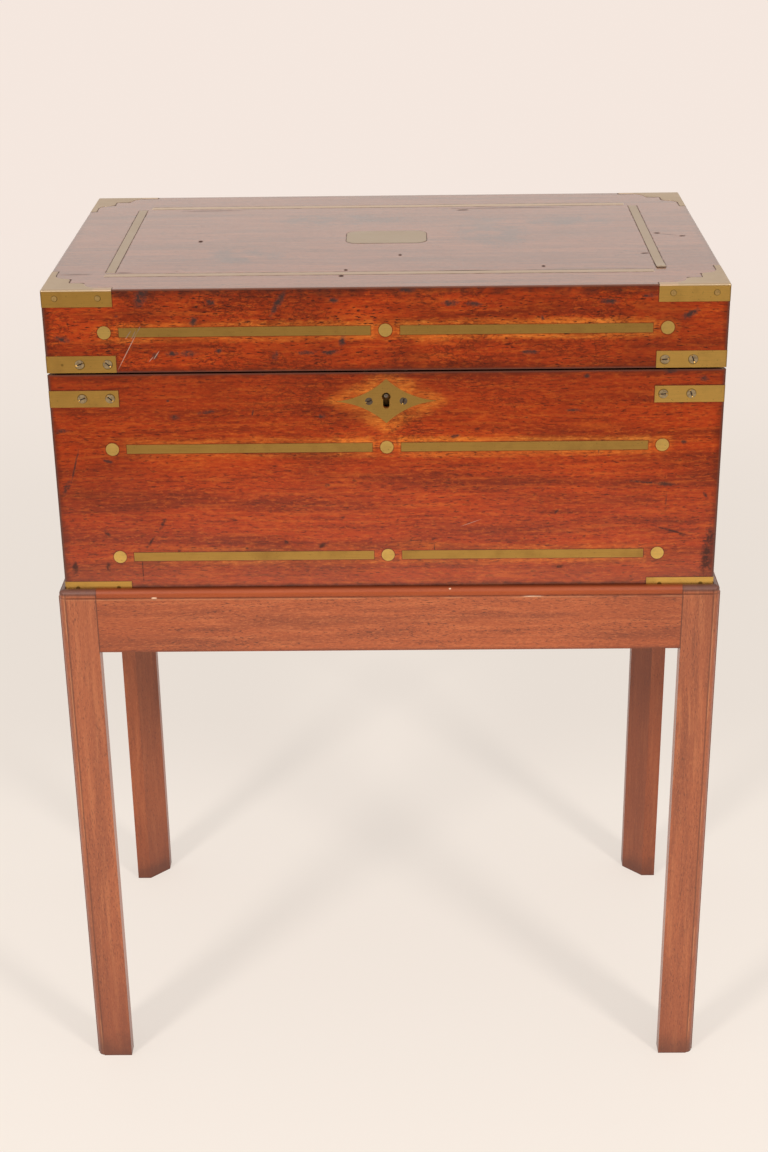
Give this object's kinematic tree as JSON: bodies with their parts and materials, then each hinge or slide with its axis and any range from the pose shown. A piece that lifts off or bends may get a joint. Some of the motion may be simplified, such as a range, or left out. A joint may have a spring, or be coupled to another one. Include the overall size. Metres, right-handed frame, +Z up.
{
  "type": "writing slope on stand",
  "caption": "Brass-bound mahogany writing slope with a hinged lid, leather-lined flaps, lock and fitted wells, resting in the rebate of an open straight-legged stand.",
  "frame": {"origin": "on the floor, under the middle of the stand", "axes": "+Z up, +Y from the lock side to the hinge side, +X to the right seen from the lock side"},
  "size_m": [0.5198, 0.3144, 0.6859],
  "materials": {
    "box_mahogany": "red-brown mahogany, polished, with worn marks and darkened edges",
    "stand_mahogany": "paler brown mahogany, satin wax",
    "inner_mahogany": "oiled mahogany, matt",
    "brass": "old brass, softly brushed",
    "hinge_brass": "dull cast brass",
    "screw_steel": "grey worn steel",
    "leather": "dark green skiver, satin",
    "glass": "clear cut glass"
  },
  "bodies": {
    "stand": {"leg_front_left": "stand_mahogany", "leg_front_right": "stand_mahogany", "leg_back_left": "stand_mahogany", "leg_back_right": "stand_mahogany", "rail_front": "stand_mahogany", "rail_back": "stand_mahogany", "rail_left": "stand_mahogany", "rail_right": "stand_mahogany"},
    "box": {"base_front": "box_mahogany", "base_back": "box_mahogany", "base_left": "box_mahogany", "base_right": "box_mahogany", "base_bottom": "inner_mahogany", "base_corner_straps": "brass", "bottom_corner_brackets": "brass", "base_strap_screws": "screw_steel", "base_front_inlays": "brass", "escutcheon": "brass", "escutcheon_screws": "screw_steel", "lock_case": "hinge_brass", "lock_drill_pin": "screw_steel", "lock_spring": "screw_steel", "base_hinge_leaves": "hinge_brass", "base_hinge_screws": "hinge_brass", "base_hinge_pins": "hinge_brass", "well_partition": "inner_mahogany", "well_floor": "inner_mahogany", "well_dividers": "inner_mahogany", "pen_tray": "inner_mahogany", "ink_bottles": "glass", "ink_bottle_caps": "brass", "base_flap_rail": "inner_mahogany", "base_flap_rail_leaves": "hinge_brass", "base_flap_ledges": "inner_mahogany"},
    "lid": {"lid_front": "box_mahogany", "lid_back": "box_mahogany", "lid_left": "box_mahogany", "lid_right": "box_mahogany", "lid_top": "box_mahogany", "lid_corner_straps": "brass", "lid_strap_screws": "screw_steel", "top_corner_brackets": "brass", "bracket_pins": "screw_steel", "lid_front_inlays": "brass", "lid_top_strips": "brass", "name_plate": "brass", "lid_hinge_leaves": "hinge_brass", "lid_hinge_screws": "hinge_brass", "lock_link_plate": "hinge_brass", "lid_flap_rail": "inner_mahogany", "lid_flap_rail_leaves": "hinge_brass", "lid_flap_ledges": "inner_mahogany"},
    "base_flap": {"base_flap": "inner_mahogany", "base_flap_leather": "leather", "base_flap_leaves": "hinge_brass"},
    "lid_flap": {"lid_flap": "inner_mahogany", "lid_flap_leather": "leather", "lid_flap_leaves": "hinge_brass", "lid_flap_hinge_pins": "hinge_brass"},
    "lock_bolt": {"lock_bolt": "screw_steel"}
  },
  "joints": [
    {"name": "box_lift", "type": "slide", "parent": "stand", "child": "box", "axis": [0, 0, 1], "range_m": [0, 0.15]},
    {"name": "lid_hinge", "type": "hinge", "parent": "box", "child": "lid", "pos_m": [0, 0.15208, 0.5619], "axis": [-1, 0, 0], "range_deg": [0, 175]},
    {"name": "base_flap_hinge", "type": "hinge", "parent": "box", "child": "base_flap", "pos_m": [0, 0.12389, 0.56466], "axis": [-1, 0, 0], "range_deg": [0, 70]},
    {"name": "lid_flap_hinge", "type": "hinge", "parent": "lid", "child": "lid_flap", "pos_m": [0, 0.12493, 0.56997], "axis": [1, 0, 0], "range_deg": [0, 70]},
    {"name": "lock_bolt_slide", "type": "slide", "parent": "box", "child": "lock_bolt", "axis": [1, 0, 0], "range_m": [0, 0.007]}
  ],
  "couplings": [
    {"joint": "base_flap_hinge", "follows": "lid_hinge", "ratio": 0.4},
    {"joint": "lid_flap_hinge", "follows": "lid_hinge", "ratio": 0.4}
  ]
}
